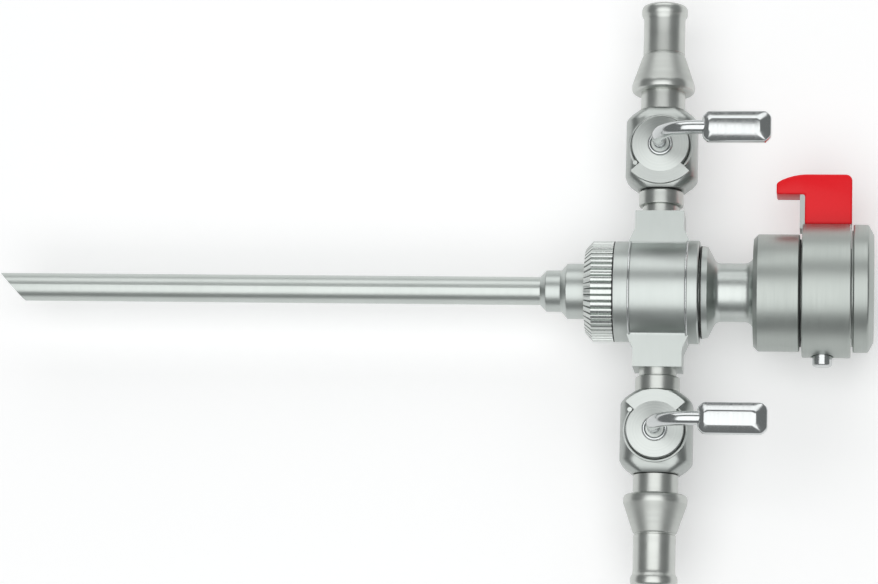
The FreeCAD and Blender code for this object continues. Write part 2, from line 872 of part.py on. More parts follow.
# Metal tab on the lever's front side
def make_lever_tab():
    front = ring_front_x - lever_tab_proud
    foot = ring_top - lever_tab_seat
    return block(front, front + lever_tab_thickness, foot, ring_top + lever_tab_height,
                 -lever_tab_width / 2, lever_tab_width / 2)


# Two pins that hold the grip on the ring
def make_lever_pins():
    pins = []
    for station in lever_pin_stations():
        foot = Vector(station, ring_top - lever_pin_depth, 0)
        height = lever_pin_depth + lever_pin_height
        pins.append(Part.makeCylinder(lever_pin_dia / 2, height, foot, along_y))
    return Part.makeCompound(pins)


# Red grip with a hook that reaches forwards and narrows towards its tip
def make_lever_grip():
    rear = ring_rear_x
    front = rear - grip_length
    tip = front - hook_reach
    top = ring_top + grip_height
    rear_top = ring_top + grip_rear_height
    underside = ring_top + lever_tab_height
    foot_level = ring_top - lever_tab_seat
    side = rounded_face([
        (front, foot_level),
        (front, underside),
        (tip, underside, hook_tip_round),
        (tip, underside + hook_height, hook_tip_round),
        (front - lever_tab_thickness, top, grip_crown_radius),
        (rear, rear_top, grip_round),
        (rear, foot_level),
    ])
    grip = side.extrude(along_z * grip_width)
    grip.translate(along_z * (-grip_width / 2))
    bend = front - lever_tab_thickness
    tip_half_width = hook_tip_width / 2
    half_width = grip_width / 2
    plan = rounded_face([
        (rear + 1, -half_width),
        (rear + 1, half_width),
        (bend, half_width, hook_bend_radius),
        (tip, tip_half_width),
        (tip, -tip_half_width),
        (bend, -half_width, hook_bend_radius),
    ])
    plan_block = plan.extrude(along_z * (2 * top))
    plan_block.rotate(origin, along_x, -90)
    grip = grip.common(plan_block)
    long_edges = []
    for edge in grip.Edges:
        box = edge.BoundBox
        above = box.YMin > underside + 1e-3
        if above and box.ZLength < half_width and box.XLength > 1e-3:
            long_edges.append(edge)
    grip = grip.makeFillet(grip_edge, long_edges)
    saddle = rod_along_x(ring_radius, tip - 1, rear + 1)
    saddle.translate(along_y * ring_offset)
    pin_holes = []
    for station in lever_pin_stations():
        foot = Vector(station, 0, 0)
        height = ring_top + lever_pin_height
        pin_holes.append(Part.makeCylinder(lever_pin_dia / 2, height, foot, along_y))
    return grip.cut([saddle] + pin_holes)


# End cap screwed on the hub, set off-centre like the ring, with keyways for the telescope's pins
def make_end_cap():
    cap = turned([
        (ring_rear_x, 0),
        (ring_rear_x, cap_groove_dia / 2),
        (cap_front_x, cap_groove_dia / 2),
        (cap_front_x, cap_dia / 2, cap_edge),
        (-cap_chamfer_length, cap_dia / 2, cap_rear_round),
        (0, cap_rear_dia / 2, cap_edge),
        (0, 0),
    ])
    cap.translate(along_y * cap_offset)
    opening = turned([
        (ring_rear_x - 1, 0),
        (ring_rear_x - 1, hub_dia / 2),
        (-cap_rear_wall, hub_dia / 2),
        (-cap_rear_wall, socket_dia / 2),
        (-port_chamfer, socket_dia / 2),
        (0, socket_dia / 2 + port_chamfer),
        (1, socket_dia / 2 + port_chamfer),
        (1, 0),
    ])
    return cap.cut([opening] + bayonet_slots(ring_rear_x - 1, 1, bayonet_outer_dia / 2))


sheath_pieces = {
    "sheath_tube": make_sheath_tube(),
    "tube_ferrule": make_ferrule(),
    "spindle": make_spindle(),
    "collar_seals": make_collar_seals(),
    "rear_seal_ring": make_rear_seal(),
    "knurled_nut": make_knurled_nut(),
    "nut_bush": make_nut_bush(),
    "slip_washer": make_slip_washer(),
    "stopcock_collar": make_collar(),
    "lock_housing": make_lock_housing(),
    "telescope_seat": make_telescope_seat(),
    "telescope_seal": make_telescope_seal(),
    "thrust_washer": make_thrust_washer(),
    "lock_ring": make_lock_ring(),
    "lever_tab": make_lever_tab(),
    "lever_pins": make_lever_pins(),
    "lever_grip": make_lever_grip(),
    "ring_stud": make_ring_stud(),
    "end_cap": make_end_cap(),
}

stopcock_pieces = {
    "union": make_union(),
    "union_gasket": make_gasket(union_outer, union_collar_dia),
    "valve_body": make_valve_body(),
    "stop_pin": make_stop_pin(),
    "connector_gasket": make_gasket(valve_outer, connector_neck_dia),
    "hose_connector": make_hose_connector(),
    "valve_plug": make_valve_plug(),
    "lever_rod": make_lever_rod(),
    "lever_paddle": make_lever_paddle(),
    "spring_washer": make_spring_washer(),
    "plug_nut": make_plug_nut(),
}

os.makedirs("parts", exist_ok=True)
for name, piece in sheath_pieces.items():
    piece.exportStep("parts/" + name + ".step")
for name, piece in stopcock_pieces.items():
    piece.exportStep("parts/upper_" + name + ".step")
    mirrored(piece).exportStep("parts/lower_" + name + ".step")
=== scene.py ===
"""Arthroscope sheath on a white table, seen from above as in the photograph."""
import math

import bpy
from mathutils import Matrix, Vector


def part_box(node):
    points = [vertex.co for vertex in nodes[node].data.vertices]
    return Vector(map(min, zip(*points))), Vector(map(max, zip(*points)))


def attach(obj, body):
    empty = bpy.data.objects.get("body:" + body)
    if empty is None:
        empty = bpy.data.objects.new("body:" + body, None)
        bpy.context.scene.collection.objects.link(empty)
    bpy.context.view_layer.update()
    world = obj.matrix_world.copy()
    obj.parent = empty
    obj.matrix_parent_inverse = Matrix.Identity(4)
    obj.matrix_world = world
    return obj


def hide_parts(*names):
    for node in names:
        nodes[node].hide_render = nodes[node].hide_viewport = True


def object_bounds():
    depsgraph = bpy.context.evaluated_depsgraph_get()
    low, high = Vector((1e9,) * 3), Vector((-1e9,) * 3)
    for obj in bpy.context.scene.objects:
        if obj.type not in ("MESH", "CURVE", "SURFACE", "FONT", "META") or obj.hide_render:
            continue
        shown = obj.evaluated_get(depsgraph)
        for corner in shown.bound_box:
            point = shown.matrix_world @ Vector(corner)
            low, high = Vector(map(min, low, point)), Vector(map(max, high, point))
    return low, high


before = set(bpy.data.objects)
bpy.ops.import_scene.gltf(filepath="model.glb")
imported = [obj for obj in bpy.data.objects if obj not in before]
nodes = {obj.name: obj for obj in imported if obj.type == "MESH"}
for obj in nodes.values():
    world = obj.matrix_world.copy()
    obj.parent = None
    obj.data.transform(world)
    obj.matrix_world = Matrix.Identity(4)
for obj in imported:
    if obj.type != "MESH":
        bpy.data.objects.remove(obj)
cad_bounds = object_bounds()
MM = 0.001


def linear(hex_colour):
    """sRGB hex to the linear colour that a shader takes."""
    channels = []
    for start in (1, 3, 5):
        value = int(hex_colour[start:start + 2], 16) / 255
        if value <= 0.04045:
            channels.append(value / 12.92)
        else:
            channels.append(((value + 0.055) / 1.055) ** 2.4)
    return (*channels, 1.0)


def add_node(tree, kind, settings=None, links=None):
    """Adds a shader node, sets its values and sockets, and links its inputs."""
    node = tree.nodes.new(kind)
    for name, value in (settings or {}).items():
        if name in node.inputs:
            node.inputs[name].default_value = value
        else:
            setattr(node, name, value)
    for name, source in (links or {}).items():
        tree.links.new(source, node.inputs[name])
    return node


def new_material(name):
    material = bpy.data.materials.new(name)
    material.use_nodes = True
    material.node_tree.nodes.clear()
    return material


def finish_material(material, shader):
    """Sends a shader to the material's output."""
    output = add_node(material.node_tree, "ShaderNodeOutputMaterial")
    material.node_tree.links.new(shader.outputs["BSDF"], output.inputs["Surface"])
    return material


# Camera: above the table, a little to the tube's near side and towards the lock
PICTURE_WIDTH = 878
FOCAL_PIXELS = 3200
AIM = Vector((-0.08737, -0.00036, 0))
TOWARDS_CAMERA = Vector((0.13, -0.2, 1)).normalized()
CAMERA_DISTANCE = 0.6489
CAMERA_ROLL = 0.0337


def make_camera():
    data = bpy.data.cameras.new("table_camera")
    data.sensor_width = 36
    data.lens = FOCAL_PIXELS / PICTURE_WIDTH * data.sensor_width
    data.clip_start = 0.01
    camera = bpy.data.objects.new("table_camera", data)
    bpy.context.scene.collection.objects.link(camera)
    up = Vector((0, 1, 0))
    up = (up - TOWARDS_CAMERA * up.dot(TOWARDS_CAMERA)).normalized()
    right = up.cross(TOWARDS_CAMERA)
    rolled_right = right * math.cos(CAMERA_ROLL) + up * math.sin(CAMERA_ROLL)
    rolled_up = up * math.cos(CAMERA_ROLL) - right * math.sin(CAMERA_ROLL)
    turn = Matrix((rolled_right, rolled_up, TOWARDS_CAMERA)).transposed().to_4x4()
    camera.matrix_world = Matrix.Translation(AIM + TOWARDS_CAMERA * CAMERA_DISTANCE) @ turn
    bpy.context.scene.camera = camera


# Machining lines are this many times as long as they are wide
LINE_STRETCH = 50
# Nearly all values of a noise texture lie between these
NOISE_LOW, NOISE_HIGH = 0.25, 0.75
# How much smoother and rougher than its metal a line is at its two extremes
SMOOTHER, ROUGHER = 0.04, 0.06
# Soft patches of about 11 mm in the tone of every metal
PATCHES_PER_METRE = 90.0
# How much rougher a blasted band is than its metal, and how many mm its border takes on each side
BLASTED_ROUGHER = 0.13
BLASTED_BORDER = 0.1
METAL_BUMP_DISTANCE = 0.0004
GRAIN_BUMP_DISTANCE = 0.0002


def metal(name, colours, roughness, line_axis, line_mm=0.12, line_depth=0.02, blasted=None):
    """Metal with fine machining lines at right angles to line_axis.

    line_mm is the spacing of the lines, which are drawn a few times coarser than real ones, so that they show.
    blasted gives the start and end, in mm from the tube's axis, of a matte band on a piece along Y.
    """
    material = new_material(name)
    tree = material.node_tree
    place = add_node(tree, "ShaderNodeTexCoord").outputs["Object"]
    across = 1000 / line_mm
    scale = [across / LINE_STRETCH] * 3
    scale["XYZ".index(line_axis)] = across
    lines_place = add_node(tree, "ShaderNodeMapping", {"Scale": scale}, {"Vector": place})
    lines = add_node(tree, "ShaderNodeTexNoise", {"Scale": 1.0, "Detail": 2.0, "Roughness": 0.6},
                     {"Vector": lines_place.outputs["Vector"]})
    patches = add_node(tree, "ShaderNodeTexNoise", {"Scale": PATCHES_PER_METRE, "Detail": 3.0, "Roughness": 0.55},
                       {"Vector": place})
    rough = add_node(tree, "ShaderNodeMapRange",
                     {"From Min": NOISE_LOW, "From Max": NOISE_HIGH,
                      "To Min": roughness - SMOOTHER, "To Max": roughness + ROUGHER},
                     {"Value": lines.outputs["Fac"]})
    roughness_value = rough.outputs["Result"]
    if blasted:
        split = add_node(tree, "ShaderNodeSeparateXYZ", None, {"Vector": place})
        outwards = add_node(tree, "ShaderNodeMath", {"operation": "ABSOLUTE"}, {"Value": split.outputs["Y"]})
        start, end = (edge * MM for edge in blasted)
        border = BLASTED_BORDER * MM
        begins = add_node(tree, "ShaderNodeMapRange", {"From Min": start - border, "From Max": start + border},
                          {"Value": outwards.outputs["Value"]})
        ends = add_node(tree, "ShaderNodeMapRange", {"From Min": end + border, "From Max": end - border},
                        {"Value": outwards.outputs["Value"]})
        band = add_node(tree, "ShaderNodeMath", {"operation": "MULTIPLY"})
        tree.links.new(begins.outputs["Result"], band.inputs[0])
        tree.links.new(ends.outputs["Result"], band.inputs[1])
        matte = add_node(tree, "ShaderNodeMath", {"operation": "MULTIPLY_ADD"})
        matte.inputs[1].default_value = BLASTED_ROUGHER
        tree.links.new(band.outputs["Value"], matte.inputs[0])
        tree.links.new(roughness_value, matte.inputs[2])
        roughness_value = matte.outputs["Value"]
    tint = add_node(tree, "ShaderNodeMixRGB", {"Color1": linear(colours[0]), "Color2": linear(colours[1])},
                    {"Fac": patches.outputs["Fac"]})
    bump = add_node(tree, "ShaderNodeBump", {"Strength": line_depth, "Distance": METAL_BUMP_DISTANCE},
                    {"Height": lines.outputs["Fac"]})
    shader = add_node(tree, "ShaderNodeBsdfPrincipled", {"Metallic": 1.0},
                      {"Base Color": tint.outputs["Color"], "Roughness": roughness_value,
                       "Normal": bump.outputs["Normal"]})
    return finish_material(material, shader)


def turned_face(name, colours, roughness, centre, ring_mm, ring_depth, stretch):
    """Metal faced on a lathe: rings round an axis along Z, and the fan of light that they give."""
    material = new_material(name)
    tree = material.node_tree
    place = add_node(tree, "ShaderNodeTexCoord").outputs["Object"]
    from_axis = add_node(tree, "ShaderNodeVectorMath", {"operation": "SUBTRACT"})
    tree.links.new(place, from_axis.inputs[0])
    from_axis.inputs[1].default_value = (centre[0], centre[1], 0)
    flat = add_node(tree, "ShaderNodeVectorMath", {"operation": "MULTIPLY"})
    tree.links.new(from_axis.outputs["Vector"], flat.inputs[0])
    flat.inputs[1].default_value = (1, 1, 0)
    radius = add_node(tree, "ShaderNodeVectorMath", {"operation": "LENGTH"}, {"Vector": flat.outputs["Vector"]})
    rings = add_node(tree, "ShaderNodeTexNoise",
                     {"noise_dimensions": "1D", "Scale": 1000 / ring_mm, "Detail": 2.0},
                     {"W": radius.outputs["Value"]})
    along_ring = add_node(tree, "ShaderNodeVectorMath", {"operation": "CROSS_PRODUCT"})
    along_ring.inputs[0].default_value = (0, 0, 1)
    tree.links.new(flat.outputs["Vector"], along_ring.inputs[1])
    tint = add_node(tree, "ShaderNodeMixRGB", {"Color1": linear(colours[0]), "Color2": linear(colours[1])},
                    {"Fac": rings.outputs["Fac"]})
    bump = add_node(tree, "ShaderNodeBump", {"Strength": ring_depth, "Distance": METAL_BUMP_DISTANCE},
                    {"Height": rings.outputs["Fac"]})
    shader = add_node(tree, "ShaderNodeBsdfPrincipled",
                      {"Metallic": 1.0, "Roughness": roughness, "Anisotropic": stretch},
                      {"Base Color": tint.outputs["Color"], "Normal": bump.outputs["Normal"],
                       "Tangent": along_ring.outputs["Vector"]})
    return finish_material(material, shader)


def moulded(name, colours, roughness, grain_mm=0.5, grain_depth=0.05, specular=0.5):
    """Moulded plastic or rubber with a fine grain."""
    material = new_material(name)
    tree = material.node_tree
    place = add_node(tree, "ShaderNodeTexCoord").outputs["Object"]
    grain = add_node(tree, "ShaderNodeTexNoise", {"Scale": 1000 / grain_mm, "Detail": 3.0}, {"Vector": place})
    tint = add_node(tree, "ShaderNodeMixRGB", {"Color1": linear(colours[0]), "Color2": linear(colours[1])},
                    {"Fac": grain.outputs["Fac"]})
    bump = add_node(tree, "ShaderNodeBump", {"Strength": grain_depth, "Distance": GRAIN_BUMP_DISTANCE},
                    {"Height": grain.outputs["Fac"]})
    shader = add_node(tree, "ShaderNodeBsdfPrincipled",
                      {"Roughness": roughness, "Specular IOR Level": specular},
                      {"Base Color": tint.outputs["Color"], "Normal": bump.outputs["Normal"]})
    return finish_material(material, shader)


def dress(names, material):
    """Gives CAD nodes a material."""
    for name in names:
        node = nodes[name]
        node.data.materials.clear()
        node.data.materials.append(material)


def both(*names):
    """The names of nodes on the upper and the lower side."""
    return [side + name for side in ("upper_", "lower_") for name in names]


def middle_of(node):
    low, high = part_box(node)
    return [(low[axis] + high[axis]) / 2 for axis in range(3)]


# Valve axis, and the top of the plug that the lever stands on
valve_x, valve_y = middle_of("upper_valve_body")[:2]
plug_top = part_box("upper_valve_plug")[1][2]

# Turned on a lathe and left satin: soft bright bands along the axis, with very fine rings
satin_turned = metal("satin_turned_stainless", ("#B8BEBB", "#C3C8C5"), 0.36, "X")
# Neck and flange, turned with a coarser feed: rings that can be seen
neck_turned = metal("coarse_turned_stainless", ("#B8BEBB", "#C8CDCA"), 0.33, "X", 0.45, 0.05)
# Drawn tube: smoother than the turned pieces
drawn_tube = metal("satin_drawn_stainless", ("#BFC5C1", "#C8CDCA"), 0.36, "X", 0.2, 0.01)
# Lock housing, ring and cap: a darker grey than the rest, and a little rougher
darker_grey_lock = metal("darker_grey_stainless", ("#A9AFAB", "#B4B9B5"), 0.4, "X", 0.3, 0.012)
# Knurled nut: brighter, so that each ridge catches the light and each groove goes dark
bright_knurl = metal("bright_knurled_stainless", ("#C4C9C6", "#CED2CF"), 0.22, "X", 0.3, 0.004)
# Milled and fine blasted stopcock bodies: even grey with soft light
satin_milled = metal("satin_milled_stainless", ("#A9AEAB", "#B6BAB7"), 0.34, "Y", 0.25, 0.004)
# Stop pins, turned: they shine more than the bodies
bright_turned = metal("bright_turned_stainless", ("#BDC2BF", "#C7CBC8"), 0.3, "Z", 0.25, 0.004)
# Unions: turned and lightly polished, with lines too shallow to see
soft_polished = metal("soft_polished_stainless", ("#BDC0BC", "#C7CAC6"), 0.3, "Y", 0.6, 0.001)
# Hose connectors: as the unions, with a blasted cone that is a little duller than the rest
half_blasted = metal("half_blasted_stainless", ("#C0C3BF", "#CACDC9"), 0.33, "Y", 0.6, 0.001, (43.0, 49.0))
# Levers, stud and pins: polished, with a crisp highlight
polished_lever = metal("polished_lever_stainless", ("#C6C9C9", "#CDD0D0"), 0.16, "X", 0.6, 0.001)
# Threaded bush inside the nut: warm yellow brown
bronze = metal("turned_bronze", ("#A97F4E", "#B78C58"), 0.3, "X")
# Lock lever's grip: clear red with a low gloss
red = moulded("gloss_red_acetal", ("#EE1C25", "#F4222B"), 0.3, 0.6, 0.02, 0.2)
# Seals and gaskets: matt black, and the telescope's seal grey
black = moulded("black_nitrile_rubber", ("#0C0C0C", "#141414"), 0.55)
silicone = moulded("grey_silicone_rubber", ("#8D9192", "#979B9C"), 0.5)
# Slip and thrust washers: near black, a painted shade that makes the gaps between the metal pieces show as dark lines
gap_shade_paint = moulded("near_black_gap_shade", ("#1A1A1B", "#222224"), 0.5)

dress(["tube_ferrule", "stopcock_collar", "telescope_seat"], satin_turned)
dress(["spindle"], neck_turned)
dress(["knurled_nut"], bright_knurl)
dress(["lock_housing", "lock_ring", "end_cap"], darker_grey_lock)
dress(["sheath_tube"], drawn_tube)
dress(both("stop_pin"), bright_turned)
dress(both("valve_body", "spring_washer", "plug_nut") + ["lever_tab"], satin_milled)
dress(both("union", "hose_connector"), soft_polished)
dress(both("lever_rod", "lever_paddle") + ["lever_pins", "ring_stud"], polished_lever)
dress(["lever_grip"], red)
dress(["collar_seals", "rear_seal_ring"] + both("union_gasket", "connector_gasket"), black)
dress(["telescope_seal"], silicone)
# Washers in near black: painted shade in the gaps between the metal pieces
dress(["slip_washer", "thrust_washer"], gap_shade_paint)
dress(["nut_bush"], bronze)

# Plug heads, faced on a lathe: fine rings that spread the light into a fan
HEAD_COLOURS = ("#BDC2BF", "#C7CBC8")
HEAD_ROUGHNESS = 0.34
HEAD_RING_MM = 0.3
HEAD_RING_DEPTH = 0.02
HEAD_STRETCH = 0.6
for side, sign in (("upper_", 1), ("lower_", -1)):
    turned_head = turned_face(side + "turned_head_stainless", HEAD_COLOURS, HEAD_ROUGHNESS,
                              (valve_x, sign * valve_y), HEAD_RING_MM, HEAD_RING_DEPTH, HEAD_STRETCH)
    dress([side + "valve_plug"], turned_head)

# Modelling helpers. A face looks along an axis when its normal has more than this on it
LOOKS_ALONG = 0.9
# Points nearer than this, in metres, are one point
MERGE_DISTANCE = 1e-6
# Edges sharper than this many degrees stay sharp on a turned piece
TURNED_SHARP_ANGLE = 30


def select_parts(piece, kind, wanted):
    """Selects the faces, edges or vertices that a test picks, and leaves the piece in edit mode."""
    bpy.ops.object.mode_set(mode="EDIT")
    bpy.ops.mesh.select_mode(type=kind)
    bpy.ops.mesh.select_all(action="DESELECT")
    bpy.ops.object.mode_set(mode="OBJECT")
    mesh = piece.data
    parts = {"FACE": mesh.polygons, "EDGE": mesh.edges, "VERT": mesh.vertices}[kind]
    for part in parts:
        part.select = wanted(part)
    bpy.ops.object.mode_set(mode="EDIT")


def ends_of(piece, edge):
    """The places of an edge's two ends."""
    return [piece.data.vertices[index].co for index in edge.vertices]


def added():
    """The piece that an operator has just added, with its place and size put into its mesh."""
    piece = bpy.context.active_object
    bpy.ops.object.transform_apply(location=True, rotation=True, scale=True)
    return piece


def make_active(piece):
    bpy.ops.object.select_all(action="DESELECT")
    piece.select_set(True)
    bpy.context.view_layer.objects.active = piece


def new_block(centre, size):
    bpy.ops.object.select_all(action="DESELECT")
    bpy.ops.mesh.primitive_cube_add(size=1, location=centre)
    bpy.context.active_object.scale = size
    return added()


def new_circle(segments, radius, centre, rotation=(0, 0, 0)):
    """Open circle, left in edit mode with its points selected."""
    bpy.ops.object.select_all(action="DESELECT")
    bpy.ops.mesh.primitive_circle_add(vertices=segments, radius=radius, fill_type="NOTHING",
                                      location=centre, rotation=rotation)
    piece = added()
    bpy.ops.object.mode_set(mode="EDIT")
    bpy.ops.mesh.select_mode(type="VERT")
    bpy.ops.mesh.select_all(action="SELECT")
    return piece


def draw_out(step, ratio=(1, 1, 1), still_point=(0, 0, 0)):
    """Extrudes the selection by a step, and resizes its new end about a point."""
    bpy.ops.mesh.extrude_region_move(TRANSFORM_OT_translate={"value": step})
    if tuple(ratio) != (1, 1, 1):
        bpy.ops.transform.resize(value=ratio, center_override=still_point)


def merge_doubles():
    bpy.ops.mesh.select_all(action="SELECT")
    bpy.ops.mesh.remove_doubles(threshold=MERGE_DISTANCE)


def turn_faces_outwards():
    """Recalculates the normals of the piece in edit mode, and leaves edit mode."""
    bpy.ops.mesh.select_all(action="SELECT")
    bpy.ops.mesh.normals_make_consistent(inside=False)
    bpy.ops.object.mode_set(mode="OBJECT")


def shade_smooth_under(degrees):
    bpy.ops.object.shade_smooth_by_angle(angle=math.radians(degrees))


def soften(piece, width, segments=2, degrees=30):
    """Rounds the sharp edges by a small width and shades the rest smooth."""
    bevel = piece.modifiers.new("soft_edges", "BEVEL")
    bevel.width = width * MM
    bevel.segments = segments
    bevel.limit_method = "ANGLE"
    bevel.angle_limit = math.radians(degrees)
    bpy.ops.object.modifier_apply(modifier=bevel.name)
    shade_smooth_under(degrees)


def cut_or_join(piece, tool, operation):
    """Cuts a tool out of a piece or joins it to the piece, and removes the tool."""
    boolean = piece.modifiers.new("boolean", "BOOLEAN")
    boolean.operation = operation
    boolean.solver = "EXACT"
    boolean.object = tool
    make_active(piece)
    bpy.ops.object.modifier_apply(modifier=boolean.name)
    bpy.data.objects.remove(tool)


def register(piece, name, body, material, replaced=()):
    """Names a finished piece, dresses it, hangs it on the empty of the body that it rides on, and hides the CAD nodes
    that it replaces.
    """
    piece.name = name
    piece.data.name = name
    piece.data.materials.clear()
    piece.data.materials.append(material)
    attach(piece, body)
    if replaced:
        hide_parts(*replaced)


def mirrored_copy(piece):
    """Copy with its own mesh on the other side of the tube."""
    copy = piece.copy()
    copy.data = piece.data.copy()
    bpy.context.scene.collection.objects.link(copy)
    make_active(copy)
    copy.scale.y = -1
    bpy.ops.object.transform_apply(location=True, rotation=True, scale=True)
    bpy.ops.object.mode_set(mode="EDIT")
    turn_faces_outwards()
    return copy


def turned_piece(profile, along_y, centre_x, segments):
    """Closed turned piece on X, or on a line along Y: a circle carried from ring to ring of (place, radius)."""
    def point(place):
        return Vector((centre_x, place * MM, 0)) if along_y else Vector((place * MM, 0, 0))

    place, radius = profile[0]
    piece = new_circle(segments, radius * MM, point(place),
                       (math.pi / 2, 0, 0) if along_y else (0, math.pi / 2, 0))
    for next_place, next_radius in profile[1:] + profile[:1]:
        ratio = next_radius / radius
        draw_out(point(next_place) - point(place), (ratio, 1, ratio) if along_y else (1, ratio, ratio),
                 point(next_place))
        place, radius = next_place, next_radius
    merge_doubles()
    turn_faces_outwards()
    shade_smooth_under(TURNED_SHARP_ANGLE)
    return piece


# Valve body: turned barrel with rounded cones at its ends and a rim round the plug's head
BARREL_ROUND = 3.6
BARREL_ROUND_STEPS = 12
BARREL_EDGE = 0.1
# Each step of a cone: how far out it goes in mm, and how much narrower and flatter it gets
CONE_STEPS = ((0.5, 0.965, 0.985), (0.8, 0.9, 0.96), (1.2, 0.74, 0.9))
RIM_RADIUS = 6.4
RIM_INSIDE = 6.05
RIM_HEIGHT = 0.6
HEAD_RECESS = 1.0
RIM_SEGMENTS = 96


def model_valve_body():
    low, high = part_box("upper_valve_body")
    face_level = high[2] - RIM_HEIGHT * MM
    middle_z = (face_level + low[2]) / 2
    length = high[1] - low[1] - 2 * sum(step[0] for step in CONE_STEPS) * MM
    piece = new_block((valve_x, valve_y, middle_z), (high[0] - low[0], length, face_level - low[2]))

    def runs_lengthwise(edge):
        start, end = ends_of(piece, edge)
        return abs(start.y - end.y) > length / 2

    select_parts(piece, "EDGE", runs_lengthwise)
    bpy.ops.mesh.bevel(offset=BARREL_ROUND * MM, segments=BARREL_ROUND_STEPS, affect="EDGES")
    bpy.ops.object.mode_set(mode="OBJECT")
    for side in (-1, 1):
        select_parts(piece, "FACE", lambda face: face.normal.y * side > LOOKS_ALONG)
        end = valve_y + side * length / 2
        for step, narrower, flatter in CONE_STEPS:
            end += side * step * MM
            draw_out((0, side * step * MM, 0), (narrower, 1, flatter), (valve_x, end, middle_z))
        bpy.ops.object.mode_set(mode="OBJECT")
    for radius, bottom, top, operation in (
            (RIM_RADIUS, high[2] / 2, high[2], "UNION"),
            (RIM_INSIDE, high[2] - HEAD_RECESS * MM, high[2] + MM, "DIFFERENCE")):
        bpy.ops.object.select_all(action="DESELECT")
        bpy.ops.mesh.primitive_cylinder_add(vertices=RIM_SEGMENTS, radius=radius * MM, depth=top - bottom,
                                            location=(valve_x, valve_y, (top + bottom) / 2))
        cut_or_join(piece, added(), operation)
    soften(piece, BARREL_EDGE)
    return piece


# Lever rod: stands on the plug and bends in one wide sweep into the paddle
ROD_RADIUS = 1.4
ROD_BEND = 7.6
ROD_SIDES = 40
ROD_BEND_STEPS = 20
ROD_SHARP_ANGLE = 40


def model_lever_rod():
    low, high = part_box("upper_lever_rod")
    bend_start = high[2] - (ROD_RADIUS + ROD_BEND) * MM
    piece = new_circle(ROD_SIDES, ROD_RADIUS * MM, (valve_x, valve_y, low[2]))
    draw_out((0, 0, bend_start - low[2]))
    bpy.ops.mesh.spin(steps=ROD_BEND_STEPS, angle=-math.pi / 2, axis=(0, 1, 0),
                      center=(valve_x + ROD_BEND * MM, valve_y, bend_start))
    draw_out((high[0] - valve_x - ROD_BEND * MM, 0, 0))
    merge_doubles()
    bpy.ops.mesh.fill_holes(sides=0)
    turn_faces_outwards()
    shade_smooth_under(ROD_SHARP_ANGLE)
    return piece


# Paddle: bar that slopes to a narrow top and bottom face on all sides
PADDLE_SLOPE = 1.15
PADDLE_FACE_WIDTH = 2.7
PADDLE_CORNER = 1.1
# How far the slopes at its two ends reach along it
PADDLE_ROD_END = 1.2
PADDLE_FREE_END = 2.2
PADDLE_EDGE = 0.35
PADDLE_SHARP_ANGLE = 15


def model_paddle():
    low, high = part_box("upper_lever_paddle")
    middle = middle_of("upper_lever_paddle")
    length, width, depth = (high[axis] - low[axis] for axis in range(3))
    piece = new_block(middle, (length, width, depth - 2 * PADDLE_SLOPE * MM))

    def stands_upright(edge):
        start, end = ends_of(piece, edge)
        return abs(start.z - end.z) > MM

    select_parts(piece, "EDGE", stands_upright)
    bpy.ops.mesh.bevel(offset=PADDLE_CORNER * MM, segments=1, affect="EDGES")
    bpy.ops.object.mode_set(mode="OBJECT")
    shorter = 1 - (PADDLE_ROD_END + PADDLE_FREE_END) * MM / length
    narrower = PADDLE_FACE_WIDTH * MM / width
    still_x = low[0] + PADDLE_ROD_END * MM / (1 - shorter)
    for side in (-1, 1):
        select_parts(piece, "FACE", lambda face: face.normal.z * side > LOOKS_ALONG)
        draw_out((0, 0, side * PADDLE_SLOPE * MM), (shorter, narrower, 1),
                 (still_x, middle[1], middle[2] + side * depth / 2))
        bpy.ops.object.mode_set(mode="OBJECT")
    soften(piece, PADDLE_EDGE, 3, PADDLE_SHARP_ANGLE)
    return piece


# Small bead round the foot of each lever
BEAD_RADIUS = 2.15
BEAD_WIRE_RADIUS = 0.38


def model_foot_bead():
    bpy.ops.object.select_all(action="DESELECT")
    bpy.ops.mesh.primitive_torus_add(major_radius=BEAD_RADIUS * MM, minor_radius=BEAD_WIRE_RADIUS * MM,
                                     major_segments=64, minor_segments=16,
                                     location=(valve_x, valve_y, plug_top))
    piece = added()
    bpy.ops.object.shade_smooth()
    return piece


# Hose connector, as (place, radius) in mm: neck, rounded rim, blasted cone, barrel and end bead, and back by the bore
CONNECTOR = ((37.3, 4.5), (41.1, 4.5), (41.1, 5.6), (41.22, 6.0), (41.5, 6.28), (42.0, 6.4), (42.8, 6.38),
             (43.2, 6.25), (48.7, 4.38), (48.9, 4.1), (49.15, 4.1), (49.3, 4.25), (52.5, 4.2), (56.2, 4.22),
             (56.8, 4.27), (57.15, 4.42), (57.4, 4.6), (57.75, 4.7), (58.6, 4.7), (59.0, 4.6), (59.3, 4.37),
             (59.46, 4.0), (59.5, 3.6), (59.5, 2.75), (59.35, 2.6), (58.3, 2.6), (57.7, 2.0), (37.3, 2.0))
CONNECTOR_SIDES = 72


def model_connector():
    return turned_piece(list(CONNECTOR), True, valve_x, CONNECTOR_SIDES)


# Knurled nut: flat ridges and narrow V grooves that run out on its front chamfer
NUT_RADIUS = 10.2
NUT_BORE = 7.9
NUT_RECESS = 9.2
NUT_FRONT_RADIUS = 8.6
NUT_CHAMFER = 1.5
NUT_FLUTES = 48
FACES_PER_FLUTE = 6
# How deep in mm the nut is cut at each line of a flute: its groove, and a light crown beside it
FLUTE_DEPTHS = {0: 0.62, 1: 0.06, 5: 0.06}
# Points this near to the nut's radius are on its outside
OUTSIDE_MARGIN = 0.03
# The recess is this much deeper than the slip washer in it
WASHER_PLAY = 0.1
# Low enough to keep the grooves' walls sharp against the ridges
NUT_SHARP_ANGLE = 28


